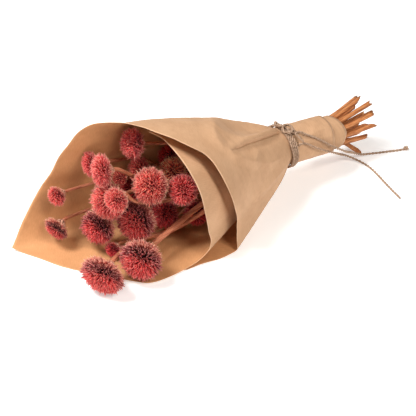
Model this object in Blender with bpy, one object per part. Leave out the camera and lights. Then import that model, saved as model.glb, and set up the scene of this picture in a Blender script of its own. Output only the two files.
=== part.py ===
"""A dried flower bouquet in a kraft paper wrap, lying on its side and tied with twine.

The bouquet runs along X: the mouth of the wrap is at -X and the cut stems are at +X. Z is up, and the wrap's flat
underside and the lowest stem lie on the plane z = 0. All sizes below are in millimetres, and MM turns them to metres.
TO_MIDDLE carries every piece by the same step at the end, so that the bouquet's middle stands over the origin.
"""

import bisect
import functools
import math
import random

import bmesh
import bpy
import numpy as np
from mathutils import Vector

MM = 0.001
TO_MIDDLE = (22.5, -11.3, 0.0)
GAP = 0.3  # left free between pieces that touch on the real bouquet

# The neck, where the wrap starts to open past the twine, and how the wrap's middle drifts sideways and up for each mm
# along X.
NECK = (35.0, 2.0, 37.0)
MOUTH_DRIFT = (-0.041, 0.101)
SLEEVE_DRIFT = (-0.104, -0.104)
SLEEVE_TAPER = 0.006

# The paper is one sheet. A place on it is a turn, in degrees round the neck from the top over the near side (-Y), and
# an X. The sheet starts at FIRST_TURN as the inner layer and ends below the near side as the outer one.
PAPER = 0.8
FIRST_TURN = -20.0
LAST_TURN = 516.0
INNER_NECK = 15.0
OUTER_NECK = 16.3
CREASE_TURN = 495.0
CORNER_TURN = 230.5
LAYER_STEP_TURNS = (300.0, 340.0)  # where the sheet climbs from the inner radius to the outer one
FLOOR_INNER = 1.7  # middle of the sheet where it lies on the outer layer
FLOOR_STEP_TURNS = (168.0, 190.0)  # where it comes down from there to the table
FLOOR_BEND = 0.05  # how softly the sheet bends onto the table, for each mm from the neck
FLARE_LENGTH = 5.0
BULGE_LENGTH = 125.0

# How fast the wrap opens toward the mouth, in mm of radius for each mm along X, at some turns.
OPENING = (
    (-20, 0.300), (0, 0.268), (16, 0.250), (36, 0.235), (58, 0.222), (76, 0.218), (95, 0.224), (111, 0.246),
    (128, 0.312), (137, 0.355), (150, 0.365), (165, 0.360), (180, 0.352), (200, 0.345), (215, 0.345),
    (226, 0.352), (237, 0.342), (248, 0.321), (261, 0.301), (274, 0.290), (288, 0.288), (297, 0.298),
    (311, 0.329), (322, 0.344), (332, 0.342), (345, 0.332), (362, 0.318), (378, 0.307), (394, 0.300),
    (411, 0.292), (430, 0.285), (448, 0.280), (460, 0.286), (470, 0.305), (485, 0.395), (496, 0.500),
    (499, 0.475), (504, 0.432), (510, 0.395), (516, 0.365),
)
# How far the sheet springs out just past the twine, and how far it swells halfway to the mouth.
FLARE = ((-20, 1.0), (350, 1.0), (394, 1.2), (430, 1.6), (460, 2.2), (485, 4.0), (496, 5.0), (516, 3.0))
BULGE = ((-20, 0.0), (130, 0.0), (200, 0.0), (260, 1.0), (300, 5.0), (330, 6.0), (360, 5.0), (400, 2.5), (450, 1.0),
         (490, 0.0), (516, 0.0))
# Where the sheet ends at the mouth, as X at each turn.
MOUTH_EDGE = (
    (-20, -79.5), (-5, -75.5), (14, -75.0), (35, -74.0), (58, -72.5), (77, -72.0), (111, -68.0), (128, -64.5),
    (133.5, -66.0), (138, -71.5), (143, -79.0), (147.5, -89.0), (151, -100.0), (154.5, -110.0), (158, -116.5),
    (163, -121.5), (169, -127.0), (190.7, -146.7), (202.6, -157.3), (215.7, -165.7), (230.5, -176.9), (238, -168.4),
    (248.8, -157.4), (262, -146.2), (275, -136.4), (289, -130.9), (298, -125.4), (311, -117.9), (319.8, -111.3),
    (327, -104.5), (334, -96.5), (341, -91.0), (348, -87.0), (355, -84.0), (362.4, -79.0), (369.8, -73.4),
    (378.8, -67.4), (387.7, -60.5), (394, -58.0), (411, -54.9), (426, -52.2), (448.6, -47.8), (471, -43.0),
    (486, -43.0), (495, -43.5), (500.9, -58.0), (507.3, -73.6), (511, -86.0), (516, -92.0),
)
# Where it ends at the sleeve, past the twine: the inner layer stands out of the outer one.
SLEEVE_EDGE = ((-20, 88.0), (30, 92.0), (60, 93.0), (90, 91.0), (150, 87.0), (340, 81.0), (400, 80.0), (440, 78.5),
               (516, 83.0))
COLUMN_TURNS = 9.0
MOUTH_ROWS = 10
SLEEVE_ROWS = 4

# The twine's turns lie round the neck, from just past where the wrap opens.
TWINE = 2.1
TWINE_TURNS = 4
TWINE_PITCH = 1.85
TWINE_SIDES = 6
TWINE_STEPS = 20
KNOT_TURN = 14.0
KNOT_X = 40.0
KNOT_STEPS = 10
TAIL_RESOLUTION = 2

# The free tails' routes, from the knot over the sleeve and down onto the table. Their middles lie half a twine and a
# little more above it.
TAIL_REST = TWINE / 2 + 0.1
TAIL_SHORT = (
    (43.1, -8.1, 52.9), (47.6, -9.4, 52.9), (52.5, -12.0, 49.9), (62, -17.0, 43.8), (72, -20.4, 35.4), (80, -21.7, 29),
    (88, -21.2, 22.6), (95, -19.2, 17), (102, -17.2, 12), (109, -16.2, 7), (116, -16.6, 3.2), (123, -18.2, 1.6),
    (130, -21.3, TAIL_REST), (138, -25.2, TAIL_REST), (146, -29.2, TAIL_REST), (155, -33, TAIL_REST),
)
TAIL_LONG = (
    (43.1, -14.8, 45.6), (47.2, -15.9, 45.8), (50.5, -17.2, 43.9), (54.5, -18.8, 41.0), (63, -20.6, 35.0),
    (73, -20.9, 28.2), (82, -19.3, 21.6), (90, -16.2, 15.2), (97, -14.0, 9.8), (103.5, -14.6, 5.0), (108, -18.0, 2.2),
    (110.3, -24, TAIL_REST), (110.4, -32, TAIL_REST), (108.6, -42, TAIL_REST), (106, -53, TAIL_REST),
    (103.4, -64, TAIL_REST), (101, -76, TAIL_REST),
)
TAIL_STEP = 4.6  # between the tube's rings

# Each flower's head: its middle, its width and the way it faces, away from its stem. The first two overhang the
# paper's low edge, and the last one is hidden by the others.
HEADS = (
    ((-146, -18, 18), 33, (-0.85, -0.42, -0.15)), ((-116, -23, 20), 31, (-0.80, -0.52, 0.10)),
    ((-121, 25, 21), 27, (-0.87, -0.30, 0.15)), ((-97.8, 8.4, 26), 30, (-0.80, -0.42, 0.30)),
    ((-115, 17, 48), 28, (-0.80, -0.30, 0.25)), ((-121, -3, 65), 19, (-0.92, -0.25, 0.10)),
    ((-145, 47, 17), 20, (-0.85, -0.20, -0.30)), ((-140, 50, 44), 15.5, (-0.92, -0.15, 0.05)),
    ((-113, 42, 66), 19, (-0.95, 0.15, 0.15)), ((-117, 20, 75), 24, (-0.93, 0.20, 0.20)),
    ((-84, 28, 79.5), 23, (-0.90, 0.20, 0.25)), ((-88.6, 1.1, 58.8), 27, (-0.70, -0.35, 0.50)),
    ((-79, 29, 52), 20, (-0.85, 0.05, 0.40)), ((-51.7, 28.5, 52.2), 19.5, (-0.75, 0.20, 0.60)),
    ((-62, 10, 54), 22, (-0.70, -0.20, 0.60)), ((-69, -12, 54), 23, (-0.65, -0.45, 0.60)),
    ((-72, 9, 19), 23, (-0.80, -0.45, 0.25)), ((-50.4, -3.4, 16.5), 20, (-0.65, -0.65, 0.20)),
    ((-120, 9, 8.5), 13, (-0.90, -0.35, -0.05)), ((-84, 35, 32), 19, (-0.90, -0.10, 0.25)),
    ((-93, 35.5, 47.5), 13, (-0.75, -0.15, 0.60)), ((-38, 6, 46), 19, (-0.80, 0.10, 0.50)),
)
# A head's shape, as shares of its width: rings from the middle of its face back to the stem, each as (radius, place
# along the way it faces). The bristly bands lie between the first rings, and the plain calyx between the last ones.
HEAD_RINGS = ((0.10, 0.26), (0.215, 0.215), (0.305, 0.13), (0.345, 0.02), (0.315, -0.085), (0.225, -0.15))
CALYX_RINGS = ((0.115, -0.21), (0.09, -0.34))
HEAD_SIDES = 12
SPIKE = 0.15
SPIKE_SPREAD = 0.25

# Stems run from the heads through the neck, in rings of places across it: (radius, count, first place's turn). Those
# of small heads start thinner, and all are equally thick by the neck.
STEM = 4.2
STEM_THIN = 2.9
STEM_THIN_HEADS = (14.0, 30.0)
STEM_TAPER_X = (-60.0, 15.0)
STEM_SIDES = 6
SLOTS = ((2.6, 3, 10), (7.2, 8, 0), (11.7, 11, 16))
STEM_POINTS = 12
STEM_STRAIGHT = 3.0  # of each stem, behind its head
STEM_SAMPLES = 5  # along each span, where it is kept clear of the others
STEM_ROUNDS = 320
STEM_CLEAR = 1.1  # wanted round a stem
# Places that some stems are bent through, behind or under the heads before them, by the head's place in the list.
STEM_BENDS = {
    0: ((-100.6, 6.7, 9.5), (-76, -6.5, 15), (-50, -13.5, 25)),
    5: ((-93, 4.7, 43.0), (-70, 5, 33.5)),
    8: ((-67, 38.6, 50.3),),
    9: ((-89, 18.8, 56), (-63, 19, 39)),
}
BUNDLE_ENDS = (121.0, -3.0, 30.0)
BUNDLE_SPREAD = 1.4
END_SCATTER = 5.5
LOW_STEM_END = (117.0, -9.0, 2.6)
SEED = 7


@functools.lru_cache(maxsize=None)
def slopes(table):
    """Slopes of the smooth curve through a table of (place, value) pairs, one at each pair."""
    runs = [(x1 - x0, (y1 - y0) / (x1 - x0)) for (x0, y0), (x1, y1) in zip(table, table[1:])]
    found = [runs[0][1]]
    for (h0, d0), (h1, d1) in zip(runs, runs[1:]):
        w0, w1 = 2 * h1 + h0, h1 + 2 * h0
        found.append((w0 + w1) / (w0 / d0 + w1 / d1) if d0 * d1 > 0 else 0.0)
    return (*found, runs[-1][1])


def follow(table, at):
    """Reads a table of (place, value) pairs as one smooth curve that never swings past its values."""
    i = min(max(bisect.bisect_left(table, (at,)) - 1, 0), len(table) - 2)
    (x0, y0), (x1, y1) = table[i:i + 2]
    m0, m1 = slopes(table)[i:i + 2]
    h = x1 - x0
    s = (at - x0) / h
    return (
        (1 + 2 * s) * (1 - s) ** 2 * y0 + s * (1 - s) ** 2 * h * m0
        + s * s * (3 - 2 * s) * y1 + s * s * (s - 1) * h * m1
    )


def step(at, low, high):
    """0 before low, 1 past high and smooth between."""
    s = min(max((at - low) / (high - low), 0.0), 1.0)
    return s * s * (3 - 2 * s)


def axis_at(x):
    """Middle of the wrap at x, as (y, z)."""
    toward = NECK[0] - x
    drift = MOUTH_DRIFT if toward > 0 else (-SLEEVE_DRIFT[0], -SLEEVE_DRIFT[1])
    return NECK[1] + drift[0] * toward, NECK[2] + drift[1] * toward


def wrap_radius(turn, x):
    """Distance of the sheet's middle from the wrap's axis."""
    neck = INNER_NECK + (OUTER_NECK - INNER_NECK) * step(turn, *LAYER_STEP_TURNS)
    toward = NECK[0] - x
    if toward <= 0:
        return neck + SLEEVE_TAPER * toward
    flare = follow(FLARE, turn) * (1 - math.exp(-toward / FLARE_LENGTH))
    s = min(toward / BULGE_LENGTH, 1.0)
    return neck + follow(OPENING, turn) * toward + flare + follow(BULGE, turn) * 4 * s * (1 - s)


def wrap_point(turn, x):
    y, z = axis_at(x)
    a = math.radians(turn)
    r = wrap_radius(turn, x)
    floor = FLOOR_INNER + (PAPER / 2 - FLOOR_INNER) * step(turn, *FLOOR_STEP_TURNS)
    over = z + r * math.cos(a) - floor
    bend = max(FLOOR_BEND * (NECK[0] - x), 0.01)
    if over < bend:
        over = (over + bend) ** 2 / (4 * bend) if over > -bend else 0.0
    return Vector((x, y - r * math.sin(a), floor + over))


def material(name, colour, roughness):
    m = bpy.data.materials.new(name)
    m.use_nodes = True
    shader = m.node_tree.nodes["Principled BSDF"]
    shader.inputs["Base Color"].default_value = (*colour, 1.0)
    shader.inputs["Roughness"].default_value = roughness
    shader.inputs["Metallic"].default_value = 0.0
    return m


def add_object(name, verts, faces, mat):
    """A named object from points in millimetres, carried to its place over the origin."""
    mesh = bpy.data.meshes.new(name)
    mesh.from_pydata([(Vector(v) + Vector(TO_MIDDLE)) * MM for v in verts], [], faces)
    bm = bmesh.new()
    bm.from_mesh(mesh)
    bmesh.ops.recalc_face_normals(bm, faces=bm.faces)
    bm.to_mesh(mesh)
    bm.free()
    ob = bpy.data.objects.new(name, mesh)
    ob.data.materials.append(mat)
    bpy.context.collection.objects.link(ob)
    return ob


def wrap_columns():
    """Turns of the sheet's columns: even ones, with the crease, the sheet's corner and the steep edge kept."""
    keep = [FIRST_TURN, 128, 133.5, 138, 143, 147.5, 151, 154.5, 158, 163, CORNER_TURN, 486, CREASE_TURN, 500.9, 507.3,
            511, LAST_TURN]
    count = round((LAST_TURN - FIRST_TURN) / COLUMN_TURNS)
    even = [FIRST_TURN + (LAST_TURN - FIRST_TURN) * i / count for i in range(count + 1)]
    return sorted(keep + [t for t in even if min(abs(t - k) for k in keep) > COLUMN_TURNS * 0.55])


def paper_wrap(mat):
    """The sheet as a closed solid: a grid of points on its middle, moved out to both faces."""
    grid = []
    for turn in wrap_columns():
        mouth, sleeve = follow(MOUTH_EDGE, turn), follow(SLEEVE_EDGE, turn)
        xs = [sleeve + (NECK[0] - sleeve) * i / SLEEVE_ROWS for i in range(SLEEVE_ROWS)]
        xs += [NECK[0] + (mouth - NECK[0]) * (i / MOUTH_ROWS) ** 1.25 for i in range(MOUTH_ROWS + 1)]
        grid.append([wrap_point(turn, x) for x in xs])
    cols, rows = len(grid), len(grid[0])
    points = np.array(grid)
    across = np.gradient(points, axis=0)
    along = np.gradient(points, axis=1)
    normal = np.cross(across, along)
    normal /= np.linalg.norm(normal, axis=2, keepdims=True)
    inner = points - normal * PAPER / 2
    outer = points + normal * PAPER / 2
    for side in (inner, outer):
        side[:, :, 2] = np.maximum(side[:, :, 2], 0.0)
    verts = [tuple(p) for side in (inner, outer) for p in side.reshape(-1, 3)]
    at = lambda side, c, r: side * cols * rows + c * rows + r
    faces = []
    for c in range(cols - 1):
        for r in range(rows - 1):
            for side in (0, 1):
                faces.append((at(side, c, r), at(side, c + 1, r), at(side, c + 1, r + 1), at(side, c, r + 1)))
        for r in (0, rows - 1):
            faces.append((at(0, c, r), at(0, c + 1, r), at(1, c + 1, r), at(1, c, r)))
    for c in (0, cols - 1):
        for r in range(rows - 1):
            faces.append((at(0, c, r), at(0, c, r + 1), at(1, c, r + 1), at(1, c, r)))
    return add_object("paper_wrap", verts, faces, mat)


def frame_along(direction):
    """Two unit vectors across a direction."""
    side = direction.cross(Vector((0, 0, 1)))
    if side.length < 0.1:
        side = direction.cross(Vector((0, 1, 0)))
    side.normalize()
    return side, direction.cross(side).normalized()


def flower_head(name, place, width, facing, mat, rng):
    """A bristly button: rings round the way it faces, each face of its bands drawn out to a spike, and a calyx."""
    centre, out = Vector(place), Vector(facing).normalized()
    u, v = frame_along(out)
    verts, faces = [], []
    for i, (radius, along) in enumerate(HEAD_RINGS + CALYX_RINGS):
        for k in range(HEAD_SIDES):
            a = math.tau * (k + 0.5 * (i % 2)) / HEAD_SIDES
            verts.append(centre + (u * math.cos(a) + v * math.sin(a)) * radius * width + out * along * width)
    at = lambda i, k: i * HEAD_SIDES + k % HEAD_SIDES
    middle = centre - out * 0.05 * width

    def spike(corners, length):
        foot = sum((verts[c] for c in corners), Vector()) / len(corners)
        away = (foot - middle).normalized() + Vector([rng.uniform(-1, 1) for _ in range(3)]) * SPIKE_SPREAD * 0.5
        verts.append(foot + away.normalized() * length * width)
        tip = len(verts) - 1
        faces.extend((corners[j], corners[(j + 1) % len(corners)], tip) for j in range(len(corners)))

    spike([at(0, k) for k in range(HEAD_SIDES)], SPIKE * 0.5)
    for i in range(len(HEAD_RINGS) - 1):
        for k in range(HEAD_SIDES):
            lean = k + (i % 2)
            spike((at(i, k), at(i + 1, lean), at(i, k + 1)), SPIKE * rng.uniform(0.85, 1.1))
            low = (at(i + 1, lean), at(i + 1, lean + 1), at(i, k + 1))
            faces.append(low)
    for i in range(len(HEAD_RINGS) - 1, len(HEAD_RINGS) + len(CALYX_RINGS) - 1):
        for k in range(HEAD_SIDES):
            lean = k + (i % 2)
            faces.append((at(i, k), at(i + 1, lean), at(i, k + 1)))
            faces.append((at(i + 1, lean), at(i + 1, lean + 1), at(i, k + 1)))
    faces.append([at(len(HEAD_RINGS) + len(CALYX_RINGS) - 1, k) for k in range(HEAD_SIDES)])
    return add_object(name, verts, faces, mat)


def head_reach(width, facing, toward):
    """How far a head reaches from its middle, for many directions at once."""
    c = toward @ np.array(Vector(facing).normalized())
    return width * np.sqrt(0.26 * (1 - c * c) + 0.14 * c * c)


def stem_seat(place, width, facing):
    """Where a stem starts: just behind its head's calyx."""
    return np.array(Vector(place) - Vector(facing).normalized() * (-CALYX_RINGS[-1][1] * width + GAP))


def slot_places():
    """The stems' places across the neck, as (turn, radius), the outer ring first."""
    return [(first + 360.0 * i / count, radius) for radius, count, first in reversed(SLOTS) for i in range(count)]


def deal_slots():
    """Gives each head a place in the neck: heads far from the wrap's middle take the outer ring, and in each ring
    the heads keep their order round the middle."""
    polar = []
    for place, width, facing in HEADS:
        y, z = axis_at(place[0])
        toward = NECK[0] - place[0]
        polar.append((math.degrees(math.atan2(-(place[1] - y), place[2] - z)) % 360,
                      math.hypot(place[1] - y, place[2] - z) / toward))
    by_reach = sorted(range(len(HEADS)), key=lambda i: -polar[i][1])
    slots, given, start = slot_places(), {}, 0
    for radius, count, first in reversed(SLOTS):
        ring = sorted(by_reach[start:start + count], key=lambda i: polar[i][0])
        places = slots[start:start + count]
        apart = lambda a, b: abs((a - b + 180) % 360 - 180)
        turn = min(range(count), key=lambda s: sum(
            apart(polar[i][0], places[(j + s) % count][0]) for j, i in enumerate(ring)))
        for j, i in enumerate(ring):
            given[i] = places[(j + turn) % count]
        start += count
    return given


def slot_point(slot, x, grow=1.0):
    y, z = axis_at(x)
    a = math.radians(slot[0])
    return np.array((x, y - slot[1] * grow * math.sin(a), z + slot[1] * grow * math.cos(a)))


def stem_paths():
    """Points of all the stems from head to neck: smooth curves first, then pushed clear of each other, of the heads
    and of the wrap in small rounds."""
    given = deal_slots()
    paths = []
    for i, (place, width, facing) in enumerate(HEADS):
        back = -np.array(Vector(facing).normalized())
        seat, end = stem_seat(place, width, facing), slot_point(given[i], NECK[0])
        start = seat + back * STEM_STRAIGHT
        reach = np.linalg.norm(end - start)
        p1 = start + back * reach * 0.25
        p2 = end - np.array((1, -MOUTH_DRIFT[0], -MOUTH_DRIFT[1])) * reach * 0.30
        s = np.linspace(0, 1, STEM_POINTS - 1)[:, None]
        curve = (1 - s) ** 3 * start + 3 * s * (1 - s) ** 2 * p1 + 3 * s * s * (1 - s) * p2 + s ** 3 * end
        if i in STEM_BENDS:
            route = [start, *STEM_BENDS[i], p2, end]
            curve = np.array([tuple(p) for p in smooth_route(route, count=STEM_POINTS - 2)])
        paths.append(np.vstack([seat, curve]))
    paths = np.array(paths)
    count, many = len(paths), (STEM_POINTS - 1) * STEM_SAMPLES + 1
    share = np.array([[max(0.0, 1 - abs(m / STEM_SAMPLES - k)) for k in range(STEM_POINTS)] for m in range(many)])
    weight = share.sum(axis=0)[None, :, None]
    free = np.ones((count, STEM_POINTS, 1))
    free[:, :2] = free[:, -1:] = 0
    for i, bends in STEM_BENDS.items():
        for bend in bends:
            k = int(np.argmin(np.linalg.norm(paths[i] - np.array(bend), axis=1)))
            paths[i][k] = bend
            free[i, k] = 0
    owner = np.repeat(np.arange(count), many)
    places = np.array([h[0] for h in HEADS], float)
    for _ in range(STEM_ROUNDS):
        at = (share @ paths).reshape(-1, 3)
        push = np.zeros_like(at)
        square = (at * at).sum(axis=1)
        apart = square[:, None] + square[None, :] - 2 * at @ at.T
        one, other = np.nonzero((apart < (STEM + STEM_CLEAR) ** 2) & (owner[:, None] != owner[None, :]))
        away = at[one] - at[other]
        dist = np.linalg.norm(away, axis=1, keepdims=True) + 1e-6
        np.add.at(push, one, away / dist * (STEM + STEM_CLEAR - dist) * 0.28)
        for j, (place, width, facing) in enumerate(HEADS):
            away = at - places[j]
            dist = np.linalg.norm(away, axis=1)
            reach = head_reach(width, facing, away / dist[:, None]) + STEM / 2 + STEM_CLEAR
            push += away / dist[:, None] * (np.maximum(reach - dist, 0) * (owner != j) * 0.5)[:, None]
        for k, (x, y, z) in enumerate(at):
            cy, cz = axis_at(x)
            turn = math.degrees(math.atan2(cy - y, z - cz)) % 360
            out = math.hypot(y - cy, z - cz)
            over = out - (wrap_radius(turn, x) - PAPER / 2 - STEM / 2 - STEM_CLEAR)
            if over > 0:
                push[k] += np.array((0, cy - y, cz - z)) / out * over * 0.7
            push[k][2] += max(FLOOR_INNER + PAPER / 2 + STEM / 2 + STEM_CLEAR - z, 0) * 0.7
        moved = np.einsum("mk,imc->ikc", share, push.reshape(count, many, 3)) / weight
        paths += moved * free
        paths[:, 1:-1] += (0.5 * (paths[:, 2:] + paths[:, :-2]) - paths[:, 1:-1]) * 0.12 * free[:, 1:-1]
    return paths, given


def stem_width(head_width, x):
    thin = STEM_THIN + (STEM - STEM_THIN) * step(head_width, *STEM_THIN_HEADS)
    return thin + (STEM - thin) * step(x, *STEM_TAPER_X)


def tube(name, points, radii, sides, mat, cut):
    """A closed tube of few sides along points. cut leans its last ring."""
    points = [Vector(p) for p in points]
    verts, faces = [], []
    side = None
    for i, (p, radius) in enumerate(zip(points, radii)):
        ahead = (points[min(i + 1, len(points) - 1)] - points[max(i - 1, 0)]).normalized()
        if side is None:
            side, _ = frame_along(ahead)
        side = (side - ahead * side.dot(ahead)).normalized()
        up = ahead.cross(side)
        for k in range(sides):
            a = math.tau * k / sides
            spoke = side * math.cos(a) + up * math.sin(a)
            lean = ahead * radius * cut * math.cos(a) if i == len(points) - 1 else Vector()
            verts.append(p + spoke * radius + lean)
    for i in range(len(points) - 1):
        for k in range(sides):
            n = (k + 1) % sides
            faces.append((i * sides + k, i * sides + n, (i + 1) * sides + n, (i + 1) * sides + k))
    faces.append(range(sides))
    faces.append(range((len(points) - 1) * sides, len(points) * sides))
    return add_object(name, verts, [tuple(f) for f in faces], mat)


def stems(mat, rng):
    paths, given = stem_paths()
    lowest = min(given, key=lambda i: slot_point(given[i], SLEEVE_EDGE[0][1])[2])
    for i, path in enumerate(paths):
        out = slot_point(given[i], 80.0, 0.97)
        points = [*path, slot_point(given[i], 57.0), out]
        if i == lowest:
            points += [np.array((93.0, out[1] + 1.0, out[2] - 2.4)), np.array((106.0, out[1], (out[2] - 1) * 0.62))]
            points.append(np.array(LOW_STEM_END))
        else:
            a = math.radians(given[i][0])
            end = np.array(BUNDLE_ENDS) + np.array((
                rng.uniform(-1, 1) * END_SCATTER + 4 * math.cos(a),
                -given[i][1] * BUNDLE_SPREAD * math.sin(a), given[i][1] * BUNDLE_SPREAD * math.cos(a)))
            bow = slot_point(given[i], 95.0, 1.0)
            points += [bow, end]
        radii = [stem_width(HEADS[i][1], p[0]) / 2 for p in points]
        tube(f"stem_{i + 1:02d}", points, radii, STEM_SIDES, mat, cut=rng.uniform(-0.9, 0.9))


def smooth_route(route, step_length=None, count=None):
    """Points at even steps on a smooth curve through all the points of a route, by their distance or their number."""
    pts = [Vector(p) for p in route]
    pts = [pts[0] * 2 - pts[1]] + pts + [pts[-1] * 2 - pts[-2]]
    fine = []
    for i in range(1, len(pts) - 2):
        p0, p1, p2, p3 = pts[i - 1:i + 3]
        for k in range(20):
            s = k / 20
            fine.append(0.5 * (2 * p1 + (p2 - p0) * s + (2 * p0 - 5 * p1 + 4 * p2 - p3) * s * s
                               + (3 * p1 - p0 - 3 * p2 + p3) * s ** 3))
    fine.append(pts[-2])
    lengths = np.concatenate([[0], np.cumsum([(b - a).length for a, b in zip(fine, fine[1:])])])
    at = np.linspace(0, lengths[-1], (count or round(lengths[-1] / step_length)) + 1)
    flat = np.array(fine)
    return [Vector([float(np.interp(t, lengths, flat[:, c])) for c in range(3)]) for t in at]


def twine_tail(name, route, mat):
    """A free end of the twine: a round tube on a smooth curve through its route."""
    curve = bpy.data.curves.new(name, "CURVE")
    curve.dimensions = "3D"
    curve.bevel_depth = TWINE / 2 * MM
    curve.bevel_resolution = TAIL_RESOLUTION
    curve.use_fill_caps = True
    points = smooth_route(route, TAIL_STEP)
    spline = curve.splines.new("POLY")
    spline.points.add(len(points) - 1)
    for point, place in zip(spline.points, points):
        point.co = (*((place + Vector(TO_MIDDLE)) * MM), 1.0)
    ob = bpy.data.objects.new(name, curve)
    ob.data.materials.append(mat)
    bpy.context.collection.objects.link(ob)
    return ob


def ring_mesh(points, radius, sides):
    """Points and faces of a closed ring of twine through points."""
    verts, faces = [], []
    count = len(points)
    for i, p in enumerate(points):
        ahead = (points[(i + 1) % count] - points[i - 1]).normalized()
        across = ahead.cross(Vector((1, 0, 0))).normalized() if abs(ahead.x) < 0.9 else ahead.cross(Vector((0, 0, 1)))
        up = ahead.cross(across)
        corners = [math.tau * (k + 0.5) / sides for k in range(sides)]
        verts += [p + (across * math.cos(a) + up * math.sin(a)) * radius for a in corners]
    for i in range(count):
        j = (i + 1) % count
        for k in range(sides):
            n = (k + 1) % sides
            faces.append((i * sides + k, i * sides + n, j * sides + n, j * sides + k))
    return verts, faces


def sheet_outside(turn, x):
    """Radius of the wrap's outside at a turn, whichever layer is outermost within a twine's bend of it."""
    return max(
        wrap_radius(t, x)
        for near in (-24, -12, 0, 12, 24)
        for t in ((turn + near) % 360, (turn + near) % 360 + 360)
        if FIRST_TURN <= t <= LAST_TURN
    ) + PAPER / 2


def twine_binding(mat):
    """The turns of twine round the neck and their knot, joined in one solid."""
    parts = bpy.data.collections.new("binding_parts")
    bpy.context.scene.collection.children.link(parts)

    def piece(points):
        ob = add_object("binding_piece", *ring_mesh(points, TWINE / 2, TWINE_SIDES), mat)
        bpy.context.collection.objects.unlink(ob)
        parts.objects.link(ob)
        return ob

    for i in range(TWINE_TURNS):
        x = NECK[0] + TWINE / 2 + 0.2 + i * TWINE_PITCH
        y, z = axis_at(x)
        points = []
        for k in range(TWINE_STEPS):
            turn = 360.0 * k / TWINE_STEPS
            a = math.radians(turn)
            r = sheet_outside(turn, x) + GAP * 1.5 + TWINE / 2
            points.append(Vector((x, y - r * math.sin(a), z + r * math.cos(a))))
        piece(points)
    y, z = axis_at(KNOT_X)
    a = math.radians(KNOT_TURN)
    out = Vector((0, -math.sin(a), math.cos(a)))
    along = Vector((0, -math.cos(a), -math.sin(a)))
    seat = Vector((KNOT_X, y, z)) + out * (sheet_outside(KNOT_TURN, KNOT_X) + GAP + TWINE * 1.15)
    for lean, size, shift in ((0.35, 3.0, 0.0), (-0.9, 2.6, 2.4)):
        first = (along * math.cos(lean) + Vector((1, 0, 0)) * math.sin(lean)).normalized()
        second = out
        points = [seat + along * shift + first * size * math.cos(t) + second * size * 0.55 * math.sin(t)
                  for t in (math.tau * k / KNOT_STEPS for k in range(KNOT_STEPS))]
        piece(points)
    base = parts.objects[0]
    base.name = "twine_binding"
    parts.objects.unlink(base)
    bpy.context.scene.collection.objects.link(base)
    union = base.modifiers.new("union", "BOOLEAN")
    union.operation = "UNION"
    union.operand_type = "COLLECTION"
    union.collection = parts
    union.solver = "EXACT"
    whole = bpy.data.meshes.new_from_object(base.evaluated_get(bpy.context.evaluated_depsgraph_get()))
    base.modifiers.clear()
    base.data = whole
    for ob in list(parts.objects):
        bpy.data.objects.remove(ob, do_unlink=True)
    bpy.data.collections.remove(parts)
    return base


for old in list(bpy.data.objects):
    bpy.data.objects.remove(old, do_unlink=True)
rng = random.Random(SEED)
kraft = material("kraft_paper", (0.62, 0.40, 0.22), 0.8)
petal = material("dried_bristles", (0.50, 0.10, 0.09), 0.85)
wood = material("dried_stem", (0.55, 0.27, 0.13), 0.75)
jute = material("jute_twine", (0.50, 0.36, 0.24), 0.9)
paper_wrap(kraft)
for number, (place, width, facing) in enumerate(HEADS, 1):
    flower_head(f"head_{number:02d}", place, width, facing, petal, rng)
stems(wood, rng)
twine_binding(jute)
twine_tail("twine_tail_short", TAIL_SHORT, jute)
twine_tail("twine_tail_long", TAIL_LONG, jute)
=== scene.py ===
"""The dried flower bouquet, dressed: fine bristly heads, ridged stems, thin creased paper and twisted twine.

Lengths are in millimetres, in the layout that the solids are drawn in, and place() turns them to metres in the frame.
"""

import bisect
import functools
import math
import random

import bmesh
import bpy
import numpy as np
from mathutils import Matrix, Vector, noise


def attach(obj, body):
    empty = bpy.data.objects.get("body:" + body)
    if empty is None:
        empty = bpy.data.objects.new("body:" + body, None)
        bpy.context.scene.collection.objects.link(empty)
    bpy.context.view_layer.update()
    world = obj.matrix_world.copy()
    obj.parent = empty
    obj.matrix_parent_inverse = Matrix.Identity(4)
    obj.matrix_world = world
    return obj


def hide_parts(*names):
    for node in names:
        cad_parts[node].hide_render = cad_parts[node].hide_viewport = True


MM = 0.001
TO_MIDDLE = (22.5, -11.3, 0.0)
SEED = 11
BODY = "root"

# The camera, turned round the bouquet and raised in degrees, and the place it looks at.
CAMERA_TURN = -38.0
CAMERA_RISE = 40.0
CAMERA_DISTANCE = 785.0
CAMERA_TARGET = (-50.0, -17.0, 30.0)
CAMERA_LENS = 90.0
CAMERA_SENSOR = 36.0

# The studio: the place in metres that its lights look at, how far off they stand and, for each one, the way that it
# stands in, its size in metres, its power in watts and its colour.
LIGHT_AIM = (-0.05, -0.02, 0.04)
LIGHT_DISTANCE = 1.3
LIGHTS = {
    "key": ((-0.47, 0.28, 0.96), 0.42, 20.0, (1.0, 1.0, 1.0)),
    "fill": ((0.12, -0.82, 0.90), 0.4, 9.5, (1.0, 0.955, 0.90)),
    "mouth": ((-0.90, -0.12, 0.45), 0.5, 3.6, (1.0, 0.97, 0.93)),
}
SURROUND = 0.10
SURROUND_COLOUR = (1.0, 0.985, 0.975)
FLOOR_SIZE = 12.0
FLOOR_GLOW = 0.36

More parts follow.
